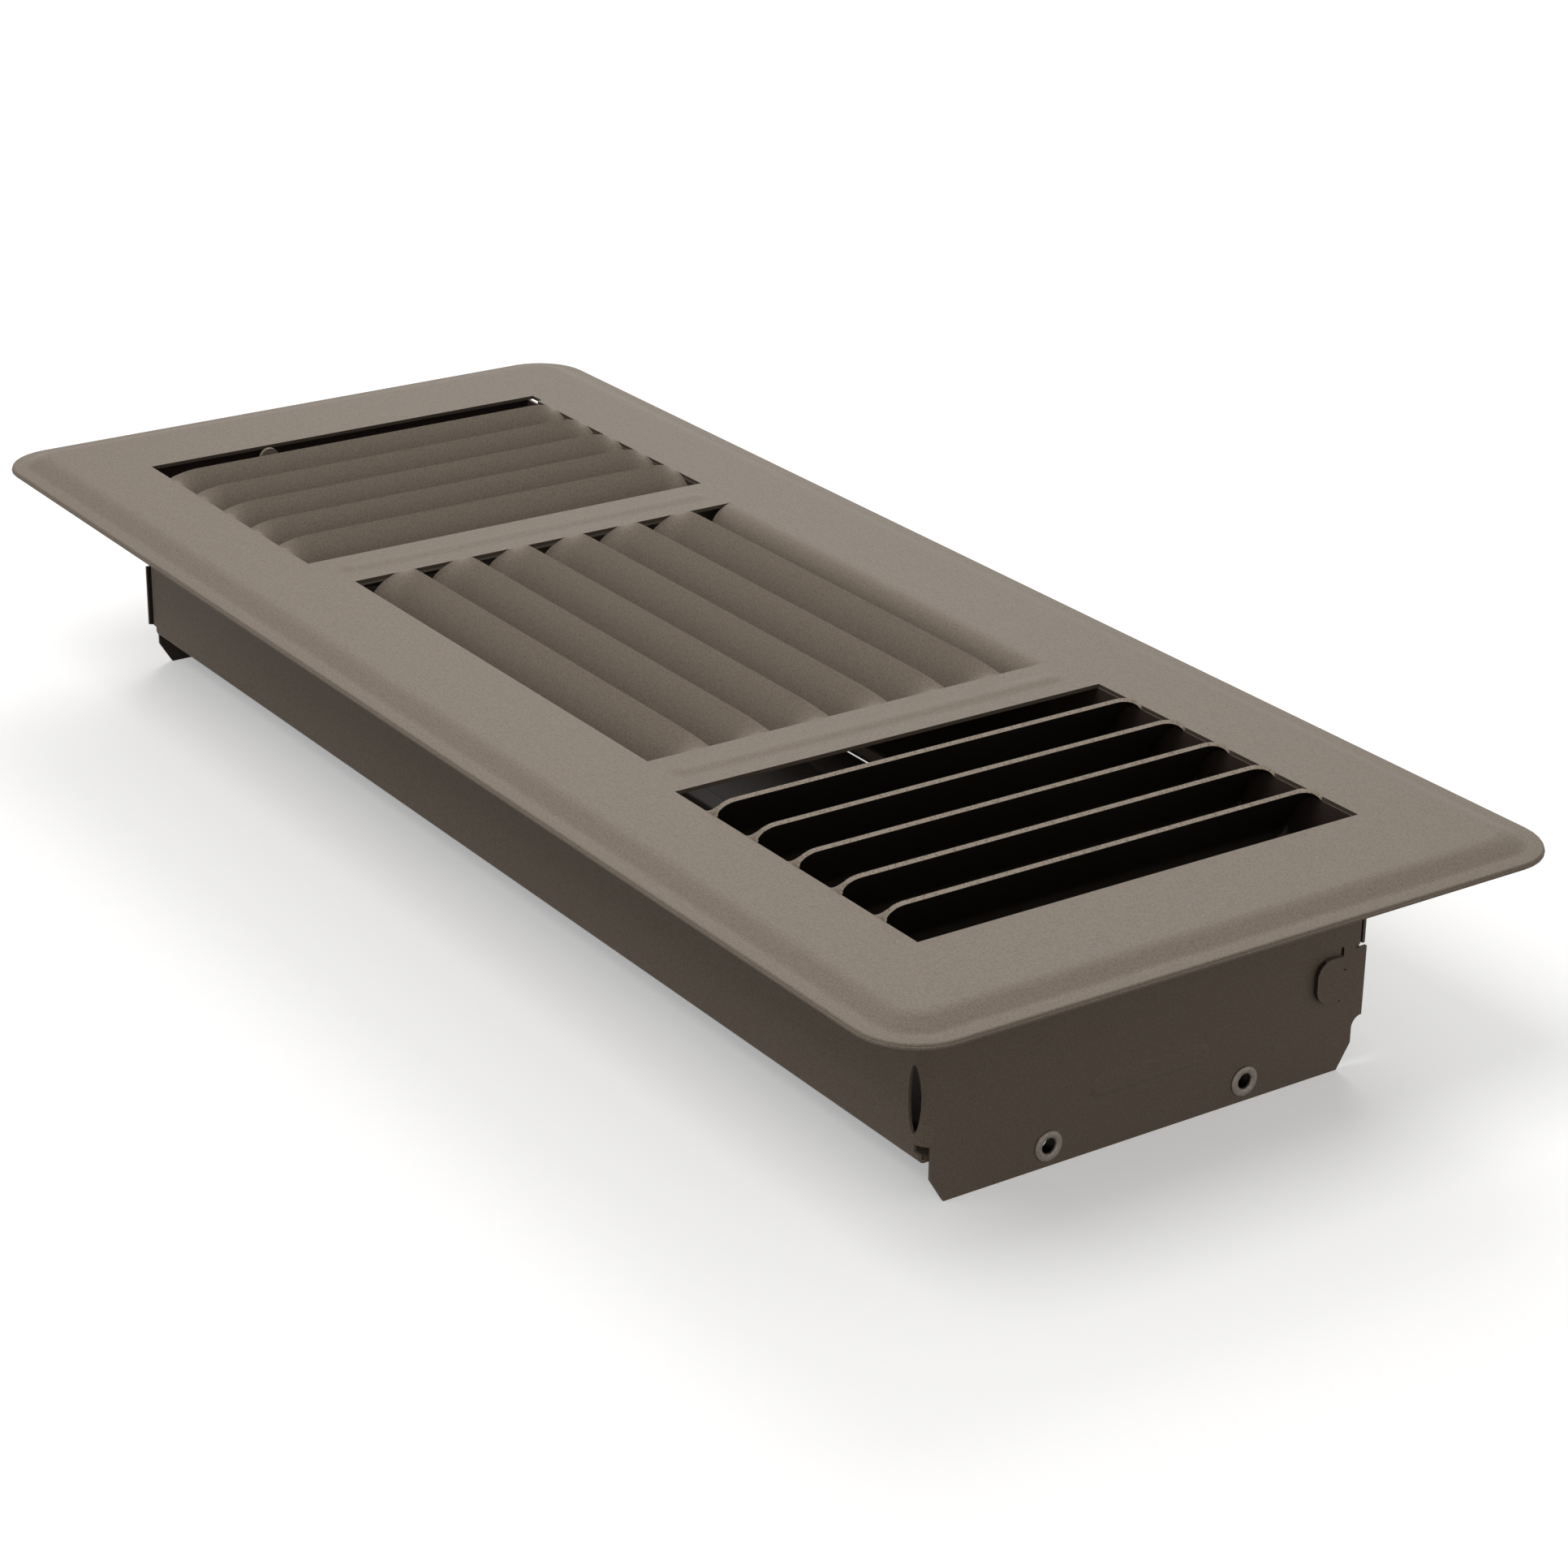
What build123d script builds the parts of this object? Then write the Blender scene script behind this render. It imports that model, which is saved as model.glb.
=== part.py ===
from build123d import *
import math
import os

os.makedirs("parts", exist_ok=True)

# A floor register: a stamped steel face with three groups of twisted louvres, on a box of two
# L-shaped halves that drops into the duct, with two damper blades, a link bar and a lever.
# Millimetres. X runs along the face, Y across it, Z up, with z = 0 at the feet of the end walls.

# Face
rim_length = 350.6
rim_width = 149.0
rim_corner = 12.0
face_height = 49.0
face_gauge = 0.8
slope_start = 0.7
slope_run = 4.9
slope_drop = 1.75
slope_round = 3.0
lip_run = 3.4
lip_fall = 0.2
lip_round = 0.8
lip_edge_round = 0.3
rim_drop = 2.94

# Windows and louvres
window_wall_gap = 4.0
end_window_length = 74.9
end_window_half = 49.3
end_cut_offset = 13.3
end_pitch = 13.0
end_strips = 5
bar_width = 14.5
middle_window_start = -46.0
middle_pitch = 13.7
middle_strips = 6
strip_tilt = 63.0
strip_rise = 1.85
strip_shift = 1.8
strip_arch = 0.8
neck_width = 4.1
neck_rise = 0.5
neck_sink = 0.1
neck_root = 2.5
curl_start = 26.0
curl_stop = 59.0
blend_run = 5.4
strip_end_gap = 0.4
middle_end_gap = 0.3
flap_root = 48.0
flap_bend = 6.0
flap_straight = 5.2
flap_cut_width = 0.4
flap_cut_stop = 45.2
bead_width = 4.4
bead_height = 0.45
bead_taper = 62.0
bar_bead_length = 92.0
corner_punch_length = 4.1
corner_punch_depth = 1.1

# Box
box_length = 300.0
box_width = 99.4
box_gauge = 0.6
box_bend = 3.0
side_wall_foot = 8.0
side_flange_edge = 45.1
flange_bend = 1.2
weld_flange = 6.9
side_weld_half = 141.5
end_weld_half = 42.0
tab_half = 48.0
tab_chamfer_run = 3.0
tab_chamfer_rise = 4.9
tab_relief = 2.3
notch_top = 11.3
notch_run = 2.8
ear_foot = 10.1
slit_height = 24.5
slit_width = 0.8
slit_depth = 2.1
edge_gap = 0.5
nest_gap = 0.05
slot_centre = 44.35
slot_width = 0.8
lock_height = 19.75
slot_length = 11.1
tab_neck = 2.8
tab_stand = 0.7
tab_head = 8.8
tab_reach = 7.0
tab_step = 0.85
tab_corner = 3.2
lance_offset = 3.1
lance_width = 3.2
lance_length = 13.2
wall_bead_length = 27.0
wall_bead_height = 12.7

# Damper
pivot_spread = 44.8
pivot_height = 4.2
pivot_radius = 2.0
eyelet_bore = 1.5
eyelet_flange = 3.0
eyelet_curl = 2.8
eyelet_rim = 0.6
running_gap = 0.05
blade_gauge = 0.7
blade_half = 22.1
blade_gap = 2.4
blade_lift = 3.2
rib_height = 1.0
rib_width = 6.0
rib_offset_outer = 17.6
rib_offset_inner = 13.0
pivot_ear_half = 4.0
ear_wall_gap = 0.2
crank_out = 10.0
crank_up = 10.0
crank_half = 4.0
crank_gap = 0.1
head_wall_gap = 0.3

# Link bar, lever and rivets
link_gauge = 0.8
link_half = 4.0
link_clearance = 0.06
open_pivot_clearance = 0.1
link_rivet_radius = 1.5
link_head_radius = 2.6
outer_head = 0.35
inner_head = 0.6
head_taper = 40.0
lever_offset = 10.5
lever_width = 4.8
lever_foot_width = 9.0
lever_tip_height = 49.7
lever_window_gap = 3.6
lever_joggle_low = 20.0
lever_joggle_high = 28.0
lever_bend = 3.0
lever_rivet_radius = 1.2
lever_rivet_spread = 5.2
lever_head_radius = 2.0

# Sizes that follow from those above
rim_run = slope_run + lip_run
flat_length = rim_length - 2 * rim_run
flat_width = rim_width - 2 * rim_run
flat_corner = rim_corner - rim_run
face_underside = face_height - face_gauge
half_length = box_length / 2
end_window_stop = half_length - window_wall_gap
end_window_start = end_window_stop - end_window_length
middle_window_half = end_window_start - bar_width
lever_tip_position = end_window_stop - lever_window_gap
half_width = box_width / 2
ear_reach = tab_half + tab_relief
inner_length = half_length - box_gauge
inner_width = half_width - box_gauge
pivot_y = pivot_spread / 2
ear_face = inner_length - ear_wall_gap
blade_end = inner_length - blade_gap
link_outer_face = head_wall_gap + outer_head + nest_gap - inner_length
link_face = link_outer_face + link_gauge
lug_face = link_face + crank_gap
crank_y = -pivot_y - crank_out
crank_z = pivot_height + crank_up
lever_y = crank_y + lever_offset


def sheet(plane, points, radii, thickness, side):
    """Gives the section of a folded sheet: a bent outline and its offset, closed at both ends."""
    with BuildSketch(plane) as section:
        with BuildLine():
            FilletPolyline(*points, radius=radii)
            offset(amount=thickness, side=side)
        make_face()
    return section.sketch


def strip_points(width, lift):
    """Points on a louvre's upper face across its width, from its top edge to its free edge.

    They are measured from its cut line. With lift 0 they follow the louvre's end, flat over the
    neck and then curling down. With lift 1 they follow its length, tilted and slightly arched.
    """
    tilt = math.radians(strip_tilt)
    along = Vector(math.cos(tilt), -math.sin(tilt))
    outward = Vector(math.sin(tilt), math.cos(tilt))
    curl = [Vector(0, neck_rise), Vector(neck_width, 0)]
    for angle in (curl_start, curl_stop):
        turn = math.radians(angle)
        curl.append(curl[-1] + Vector(math.cos(turn), -math.sin(turn)) * (width - neck_width) / 2)
    points = []
    for run, low_point in zip((0, neck_width, (neck_width + width) / 2, width), curl):
        share = run / width
        arch = 4 * strip_arch * share * (1 - share)
        tilted = Vector(strip_shift, strip_rise) + along * run + outward * arch
        points.append(low_point * (1 - lift) + tilted * lift)
    return points


def under_points(points):
    """Points one sheet thickness below the given ones, square to the line through them."""
    under = []
    for index, point in enumerate(points):
        slope = (points[min(index + 1, 3)] - points[max(index - 1, 0)]).normalized()
        under.append(point + Vector(slope.Y, -slope.X) * face_gauge)
    return under


def strip_section(width, lift, station):
    """Gives the louvre's section across its width at one station of its length."""
    top = strip_points(width, lift)
    bottom = under_points(top)
    with BuildSketch(Plane.XZ.offset(-station)) as section:
        with BuildLine():
            Spline(*top)
            Line(top[-1], bottom[-1])
            Spline(*reversed(bottom))
            Line(bottom[0], top[0])
        make_face()
    return section.sketch


def neck_section(station, rise, sink):
    """Gives the section of the bulge that each neck raises in the face, high at the cut line."""
    with BuildSketch(Plane.XZ.offset(-station)) as section:
        with BuildLine():
            Polyline((0, rise), (neck_width, -sink), (neck_width, sink - face_gauge), (0, sink - face_gauge), close=True)
        make_face()
    return section.sketch


def louvre(width, window_half, end_gap):
    """Adds one louvre: its straight length, and an end at each side that blends into the face."""
    strip_half = window_half - end_gap
    straight_half = strip_half - blend_run
    extrude(strip_section(width, 1, -straight_half), amount=2 * straight_half, dir=(0, 1, 0))
    for side in (-1, 1):
        ends = []
        for step in range(4):
            inset = blend_run * (1 - step / 3)
            lift = math.sqrt(1 - (step / 3) ** 2)
            ends.append(strip_section(width, lift, side * (strip_half - inset)))
        loft(ends, ruled=True)
        bulge = [
            neck_section(side * strip_half, neck_rise, 0),
            neck_section(side * (window_half + neck_root), -neck_sink, neck_sink),
        ]
        loft(bulge, ruled=True)


with BuildPart() as end_louvre:
    louvre(end_pitch, end_window_half, strip_end_gap)

with BuildPart() as middle_louvre:
    louvre(middle_pitch, middle_window_half, middle_end_gap)


def end_louvres():
    """Places the end groups: both lean towards the middle, the near one turned half round."""
    placed = []
    for index in range(end_strips):
        cut = end_window_start + end_cut_offset + index * end_pitch
        placed.append(Pos(-cut, 0, face_height) * end_louvre.part)
        placed.append(Pos(cut, 0, face_height) * Rot(0, 0, 180) * end_louvre.part)
    return placed


def middle_louvres():
    """Places the middle group, whose louvres run along the face and lean the same way."""
    placed = []
    for index in range(middle_strips):
        cut = middle_window_start + (index + 1) * middle_pitch
        placed.append(Pos(0, cut, face_height) * Rot(0, 0, -90) * middle_louvre.part)
    return placed


# Face: one stamped sheet. Its rim steps down to a flat lip, and the lip's edge turns down.
rim_path = (Pos(0, 0, face_height) * RectangleRounded(flat_length, flat_width, flat_corner)).wire()
rim_heading = rim_path % 0
rim_plane = Plane(rim_path @ 0, x_dir=(rim_heading.Y, -rim_heading.X, 0), z_dir=-rim_heading)
lip_start = -slope_drop
lip_stop = -slope_drop - lip_fall

with BuildPart() as face_plate:
    with BuildSketch(Plane.XY.offset(face_underside)):
        RectangleRounded(flat_length, flat_width, flat_corner)
    extrude(amount=face_gauge)

    with BuildSketch(rim_plane):
        with BuildLine():
            slope = FilletPolyline(
                (0, 0),
                (slope_start, 0),
                (slope_run, lip_start),
                (rim_run - lip_edge_round, lip_stop),
                radius=(slope_round, lip_round),
            )
            Polyline(
                slope @ 1,
                (rim_run, lip_stop - lip_edge_round),
                (rim_run, -rim_drop),
                (rim_run - face_gauge, -rim_drop),
                (rim_run - face_gauge, lip_stop - face_gauge),
            )
            under = FilletPolyline(
                (rim_run - face_gauge, lip_stop - face_gauge),
                (slope_run, lip_start - face_gauge),
                (slope_start, -face_gauge),
                (0, -face_gauge),
                radius=(lip_round + face_gauge, slope_round - face_gauge),
            )
            Line(under @ 1, slope @ 0)
        make_face()
    sweep(path=rim_path)

    # Windows: two end groups, and the middle one, whose last flap stays on the sheet
    end_window_middle = (end_window_start + end_window_stop) / 2
    middle_window_centre = (middle_window_start + flap_root) / 2
    with BuildSketch(Plane.XY.offset(face_height)):
        with Locations((-end_window_middle, 0), (end_window_middle, 0)):
            Rectangle(end_window_length, 2 * end_window_half)
        with Locations((0, middle_window_centre)):
            Rectangle(2 * middle_window_half, flap_root - middle_window_start)
        with Locations((-end_window_stop, end_window_half)):
            Rectangle(corner_punch_length, corner_punch_depth, align=(Align.MIN, Align.MIN))
    extrude(amount=-face_gauge, mode=Mode.SUBTRACT)

    # Last flap of the middle group, bent down from the sheet with a soft bend
    flap_tilt = math.radians(strip_tilt)
    flap_corner = flap_root - flap_bend * math.tan(flap_tilt / 2)
    flap_run = flap_bend * math.tan(flap_tilt / 2) + flap_straight
    flap_end = (
        flap_corner - flap_run * math.cos(flap_tilt),
        face_height - flap_run * math.sin(flap_tilt),
    )
    section = sheet(
        Plane.YZ.offset(-middle_window_half),
        [(flap_root + neck_root, face_height), (flap_corner, face_height), flap_end],
        flap_bend,
        face_gauge,
        Side.LEFT,
    )
    extrude(section, amount=2 * middle_window_half)
    with BuildSketch(Plane.XY.offset(face_height)):
        for side in (-1, 1):
            with Locations((side * (middle_window_half - flap_cut_width / 2), flap_cut_stop)):
                Rectangle(flap_cut_width, flap_root, align=(Align.CENTER, Align.MAX))
    extrude(amount=-flap_run - face_gauge, mode=Mode.SUBTRACT)

    # Embossed bead on the bar at each side of the middle group
    for level, emboss_mode in ((face_height, Mode.ADD), (face_underside, Mode.SUBTRACT)):
        with BuildSketch(Plane.XY.offset(level)):
            with Locations(*[(side * (middle_window_half + end_window_start) / 2, 0) for side in (-1, 1)]):
                SlotOverall(bar_bead_length, bead_width, rotation=90)
        extrude(amount=bead_height, taper=bead_taper, mode=emboss_mode)

    add(end_louvres() + middle_louvres())

face_plate.part.label = "face_plate"
export_step(face_plate.part, "parts/face_plate.step")

# Box halves: each is one strip, folded into a side wall and an end wall. A flange at the top
# is spot-welded under the face, and the side wall's foot turns in as a stop for the blades.
bottom_turn = [(-side_flange_edge, side_wall_foot), (-half_width, side_wall_foot)]
weld_bend = flange_bend - box_gauge

with BuildPart() as collar_left:
    # Side wall with both flanges, and its plain ends
    section = sheet(
        Plane.YZ.offset(-side_weld_half),
        bottom_turn
        + [(-half_width, face_underside - box_gauge), (-half_width - weld_flange, face_underside - box_gauge)],
        [flange_bend, weld_bend],
        box_gauge,
        Side.RIGHT,
    )
    extrude(section, amount=2 * side_weld_half)
    wall_run = half_length - notch_run
    section = sheet(
        Plane.YZ.offset(-wall_run),
        bottom_turn + [(-half_width, face_underside)],
        [flange_bend],
        box_gauge,
        Side.RIGHT,
    )
    extrude(section, amount=2 * wall_run)
    section = sheet(
        Plane.YZ.offset(wall_run),
        bottom_turn + [(-half_width, side_wall_foot + flange_bend + box_gauge)],
        [flange_bend],
        box_gauge,
        Side.RIGHT,
    )
    extrude(section, amount=notch_run - flange_bend)

    # Bend into the end wall, with its lance slot
    section = sheet(
        Plane.XY.offset(notch_top),
        [
            (wall_run - box_bend, -half_width),
            (half_length, -half_width),
            (half_length, box_bend + box_gauge - half_width),
        ],
        [box_bend],
        box_gauge,
        Side.LEFT,
    )
    extrude(section, amount=face_underside - notch_top)
    with BuildSketch(Plane.XZ.offset(half_width)):
        with Locations((half_length - lance_offset, lock_height)):
            Ellipse(lance_width / 2, lance_length / 2)
    extrude(amount=-box_bend, mode=Mode.SUBTRACT)

    # End wall: weld flange on top, tab with the pivot holes below, ear and slot at its free edge
    bend_end = box_bend - half_width
    flange_start = face_underside - flange_bend - box_gauge
    slit_low = slit_height - slit_width / 2
    slit_high = slit_height + slit_width / 2
    relief_height = ear_foot - tab_relief
    with BuildSketch(Plane.YZ.offset(inner_length)):
        with BuildLine():
            Polyline(
                (ear_reach, ear_foot),
                (ear_reach, slit_low),
                (half_width - slit_depth, slit_low),
                (half_width - slit_depth, slit_high),
                (inner_width - edge_gap, slit_high),
                (inner_width - edge_gap, face_underside),
                (end_weld_half, face_underside),
                (end_weld_half, flange_start),
                (-end_weld_half, flange_start),
                (-end_weld_half, face_underside),
                (bend_end, face_underside),
                (bend_end, notch_top),
                (-tab_half, notch_top),
                (-tab_half, tab_chamfer_rise),
                (tab_chamfer_run - tab_half, 0),
                (tab_half - tab_chamfer_run, 0),
                (tab_half, tab_chamfer_rise),
                (tab_half, relief_height),
            )
            RadiusArc((tab_half, relief_height), (ear_reach, ear_foot), tab_relief)
        make_face()
        with Locations((-pivot_y, pivot_height), (pivot_y, pivot_height)):
            Circle(pivot_radius, mode=Mode.SUBTRACT)
        with Locations((slot_centre, lock_height)):
            SlotOverall(slot_length, slot_width, rotation=90, mode=Mode.SUBTRACT)
    extrude(amount=box_gauge)
    section = sheet(
        Plane.XZ.offset(-end_weld_half),
        [
            (half_length, flange_start),
            (half_length, face_underside - box_gauge),
            (half_length + weld_flange, face_underside - box_gauge),
        ],
        [weld_bend],
        box_gauge,
        Side.LEFT,
    )
    extrude(section, amount=2 * end_weld_half)
    for distance, emboss_mode in ((half_length, Mode.ADD), (inner_length, Mode.SUBTRACT)):
        with BuildSketch(Plane.YZ.offset(distance)):
            with Locations((0, wall_bead_height)):
                SlotOverall(wall_bead_length, bead_width)
        extrude(amount=bead_height, taper=bead_taper, mode=emboss_mode)

    # Far end: plain edge above the slit, and below it a flange with the D-shaped lock tab
    with BuildSketch(Plane.XY.offset(slit_high)):
        with Locations((-half_length, -half_width)):
            Rectangle(box_bend, box_gauge, align=(Align.MIN, Align.MIN))
    extrude(amount=face_underside - slit_high)
    flange_face = nest_gap - inner_length
    section = sheet(
        Plane.XY.offset(ear_foot),
        [(-wall_run, -half_width), (flange_face, -half_width), (flange_face, slot_width / 2 - slot_centre)],
        [flange_bend],
        box_gauge,
        Side.RIGHT,
    )
    extrude(section, amount=slit_high - ear_foot)
    tab_edge = -slot_centre - box_gauge / 2
    with BuildSketch(Plane.YZ.offset(flange_face + box_gauge)):
        with Locations((tab_edge, lock_height)):
            Rectangle(box_gauge, tab_neck, align=(Align.MIN, Align.CENTER))
    extrude(amount=-3 * box_gauge - nest_gap - tab_stand)
    with BuildSketch(Plane.YZ.offset(-half_length - tab_stand)):
        with Locations((tab_edge, lock_height)):
            Rectangle(tab_reach / 2, tab_neck, align=(Align.MIN, Align.CENTER))
        with Locations((tab_edge + tab_step, lock_height)):
            Rectangle(tab_reach - tab_step, tab_head, align=(Align.MIN, Align.CENTER))
        fillet(vertices().sort_by(Axis.X)[-2:], tab_corner)
    extrude(amount=-box_gauge)

collar_left.part.label = "collar_left"
export_step(collar_left.part, "parts/collar_left.step")

with BuildPart() as collar_right:
    add(collar_left.part.rotate(Axis.Z, 180))

collar_right.part.label = "collar_right"
export_step(collar_right.part, "parts/collar_right.step")

# Damper blades: a ribbed strip with an ear bent down over each pivot, and a crank lug bent up
# at the far end. Both are the same piece.
blade_floor = pivot_height + blade_lift


def rib_points(centre):
    """Section of one stiffening rib, pressed up across the blade."""
    return [
        (centre - rib_width / 2, blade_floor),
        (centre - rib_width / 2 + rib_height, blade_floor + rib_height),
        (centre + rib_width / 2 - rib_height, blade_floor + rib_height),
        (centre + rib_width / 2, blade_floor),
    ]


with BuildPart() as damper_blade_left:
    section = sheet(
        Plane.YZ.offset(-blade_end),
        [(-pivot_y - blade_half, blade_floor)]
        + rib_points(-pivot_y - rib_offset_outer)
        + rib_points(-pivot_y + rib_offset_inner)
        + [(-pivot_y + blade_half, blade_floor)],
        blade_gauge / 2,
        blade_gauge,
        Side.LEFT,
    )
    extrude(section, amount=2 * blade_end)
    for side in (-1, 1):
        with BuildSketch(Plane.YZ.offset(side * ear_face)):
            with Locations((-pivot_y, pivot_height)):
                Circle(pivot_ear_half)
                Rectangle(2 * pivot_ear_half, blade_lift + blade_gauge, align=(Align.CENTER, Align.MIN))
                Circle(pivot_radius + running_gap, mode=Mode.SUBTRACT)
        extrude(amount=-side * blade_gauge)
        with BuildSketch(Plane.XY.offset(blade_floor)):
            with Locations((side * (blade_end + ear_face - blade_gauge) / 2, -pivot_y)):
                Rectangle(ear_face - blade_end + blade_gauge, 2 * pivot_ear_half)
        extrude(amount=blade_gauge)
    with BuildSketch(Plane.YZ.offset(lug_face)):
        with Locations((crank_y, crank_z)):
            Circle(crank_half)
            Rectangle(2 * crank_half, crank_z - blade_floor, align=(Align.CENTER, Align.MAX))
            Circle(link_rivet_radius, mode=Mode.SUBTRACT)
    extrude(amount=blade_gauge)
    with BuildSketch(Plane.XY.offset(blade_floor)):
        with Locations((lug_face, crank_y)):
            Rectangle(-lug_face - blade_end + blade_gauge, 2 * crank_half, align=(Align.MIN, Align.CENTER))
    extrude(amount=blade_gauge)

damper_blade_left.part.label = "damper_blade_left"
export_step(damper_blade_left.part, "parts/damper_blade_left.step")

with BuildPart() as damper_blade_right:
    add(Pos(0, pivot_spread, 0) * damper_blade_left.part)

damper_blade_right.part.label = "damper_blade_right"
export_step(damper_blade_right.part, "parts/damper_blade_right.step")

# Eyelets: hollow rivets, one for each ear. The flange is outside the end wall, and the curl
# inside holds the ear.
curl_face = ear_face - blade_gauge - ear_wall_gap
with BuildPart() as pivot_eyelets:
    for side in (-1, 1):
        for row in (-1, 1):
            with BuildSketch(Plane((0, row * pivot_y, pivot_height), x_dir=(side, 0, 0), z_dir=(0, -side, 0))):
                with BuildLine():
                    Polyline(
                        (half_length + eyelet_rim, pivot_radius),
                        (half_length + eyelet_rim, eyelet_bore),
                        (curl_face - eyelet_rim, eyelet_bore),
                        (curl_face, eyelet_curl),
                        (curl_face, pivot_radius),
                        (half_length, pivot_radius),
                        (half_length, eyelet_flange),
                        close=True,
                    )
                make_face()
            revolve(axis=Axis((0, row * pivot_y, pivot_height), (1, 0, 0)))

pivot_eyelets.part.label = "pivot_eyelets"
export_step(pivot_eyelets.part, "parts/pivot_eyelets.step")

# Link bar: a flat strip outside the lugs, from one blade's crank to the other's
with BuildPart() as link_bar:
    with BuildSketch(Plane.YZ.offset(link_face)):
        with Locations((crank_y + pivot_spread / 2, crank_z)):
            SlotCenterToCenter(pivot_spread, 2 * link_half)
        with Locations((crank_y, crank_z)):
            Circle(link_rivet_radius + link_clearance, mode=Mode.SUBTRACT)
        with Locations((crank_y + pivot_spread, crank_z)):
            Circle(link_rivet_radius + open_pivot_clearance, mode=Mode.SUBTRACT)
        with Locations(*[(lever_y + turn * lever_rivet_spread / 2, crank_z) for turn in (-1, 1)]):
            Circle(lever_rivet_radius, mode=Mode.SUBTRACT)
    extrude(amount=-link_gauge)

link_bar.part.label = "link_bar"
export_step(link_bar.part, "parts/link_bar.step")


def disc(distance, y, z, radius):
    """Gives a round section across X."""
    with BuildSketch(Plane.YZ.offset(distance)) as section:
        with Locations((y, z)):
            Circle(radius)
    return section.sketch


def rivet(y, z, shank, head, inner_face, outer_face):
    """Adds a rivet along X: a flat head outside, and a domed one inside."""
    extrude(disc(outer_face, y, z, shank), amount=inner_face - outer_face)
    extrude(disc(outer_face, y, z, head), amount=-outer_head)
    extrude(disc(inner_face, y, z, head), amount=inner_head, taper=head_taper)


with BuildPart() as link_rivet_left:
    rivet(crank_y, crank_z, link_rivet_radius, link_head_radius, lug_face + blade_gauge, link_outer_face - nest_gap)

link_rivet_left.part.label = "link_rivet_left"
export_step(link_rivet_left.part, "parts/link_rivet_left.step")

with BuildPart() as link_rivet_right:
    add(Pos(0, pivot_spread, 0) * link_rivet_left.part)

link_rivet_right.part.label = "link_rivet_right"
export_step(link_rivet_right.part, "parts/link_rivet_right.step")

# Lever: a strip riveted to the link bar, joggled inward to rise through the far window
with BuildPart() as control_lever:
    section = sheet(
        Plane.XZ.offset(-lever_y - lever_foot_width / 2),
        [
            (link_face, crank_z - link_half),
            (link_face, lever_joggle_low),
            (-lever_tip_position, lever_joggle_high),
            (-lever_tip_position, lever_tip_height),
        ],
        lever_bend,
        link_gauge,
        Side.RIGHT,
    )
    extrude(section, amount=lever_foot_width)
    with BuildSketch(Plane.YZ.offset(link_face)):
        with BuildLine():
            Polyline(
                (lever_y - lever_width / 2, lever_tip_height - lever_width / 2),
                (lever_y - lever_width / 2, lever_joggle_high),
                (lever_y - lever_foot_width / 2, lever_joggle_low),
                (lever_y - lever_foot_width / 2, crank_z - link_half),
                (lever_y + lever_foot_width / 2, crank_z - link_half),
                (lever_y + lever_foot_width / 2, lever_joggle_low),
                (lever_y + lever_width / 2, lever_joggle_high),
                (lever_y + lever_width / 2, lever_tip_height - lever_width / 2),
            )
            ThreePointArc(
                (lever_y + lever_width / 2, lever_tip_height - lever_width / 2),
                (lever_y, lever_tip_height),
                (lever_y - lever_width / 2, lever_tip_height - lever_width / 2),
            )
        make_face()
        with Locations(*[(lever_y + turn * lever_rivet_spread / 2, crank_z) for turn in (-1, 1)]):
            Circle(lever_rivet_radius, mode=Mode.SUBTRACT)
    extrude(amount=half_length - lever_tip_position + link_gauge, mode=Mode.INTERSECT)

control_lever.part.label = "control_lever"
export_step(control_lever.part, "parts/control_lever.step")

with BuildPart() as lever_rivets:
    for turn in (-1, 1):
        rivet(
            lever_y + turn * lever_rivet_spread / 2,
            crank_z,
            lever_rivet_radius,
            lever_head_radius,
            link_face + link_gauge,
            link_outer_face,
        )

lever_rivets.part.label = "lever_rivets"
export_step(lever_rivets.part, "parts/lever_rivets.step")
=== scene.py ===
import math

import bmesh
import bpy
import numpy as np
from mathutils import Matrix, Vector


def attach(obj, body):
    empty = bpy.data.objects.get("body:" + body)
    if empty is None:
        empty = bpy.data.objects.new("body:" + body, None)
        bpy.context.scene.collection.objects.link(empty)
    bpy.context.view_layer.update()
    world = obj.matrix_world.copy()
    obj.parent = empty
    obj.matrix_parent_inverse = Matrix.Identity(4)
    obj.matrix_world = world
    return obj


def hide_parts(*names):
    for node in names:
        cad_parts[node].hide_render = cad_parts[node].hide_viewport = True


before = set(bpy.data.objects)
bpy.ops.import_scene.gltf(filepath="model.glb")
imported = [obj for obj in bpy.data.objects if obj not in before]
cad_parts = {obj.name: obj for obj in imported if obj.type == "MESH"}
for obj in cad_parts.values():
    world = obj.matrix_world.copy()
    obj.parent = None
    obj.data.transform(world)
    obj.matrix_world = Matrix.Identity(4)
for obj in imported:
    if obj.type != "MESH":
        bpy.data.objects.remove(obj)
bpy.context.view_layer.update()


# FACE PLATE
# The grille that lies on the floor: one sheet of 0.8 mm steel, blanked, slit and twisted into
# louvres in one press stroke. The rim is drawn down to a flat lip, and the lip's edge is sheared.
MM = 0.001                         # sizes below are in millimetres, meshes in metres
FACE_HEIGHT = 49.0
FACE_GAUGE = 0.8
FLAT_HALF = (167.0, 66.2)
FLAT_CORNER = 3.7
RIM_PROFILE = (                    # run out from the flat's edge, and height over the flat
    (-2.4, 0.0), (0.7, 0.0), (4.9, -1.75), (8.17, -1.95), (8.17, -2.40), (8.3, -2.55),
    (8.3, -2.94),
)
RIM_ROUNDS = (8.0, 4.0, 0.40, 0.05, 0.05)
FIELD_HALF = (150.0, 56.0)         # the part of the flat that is a plain grid of lines
END_WINDOW = (71.1, 146.0)
END_WINDOW_HALF = 49.3
END_CUTS = (84.4, 97.4, 110.4, 123.4, 136.4)
END_PITCH = 13.0
MIDDLE_WINDOW = (-46.0, 48.0)
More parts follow.
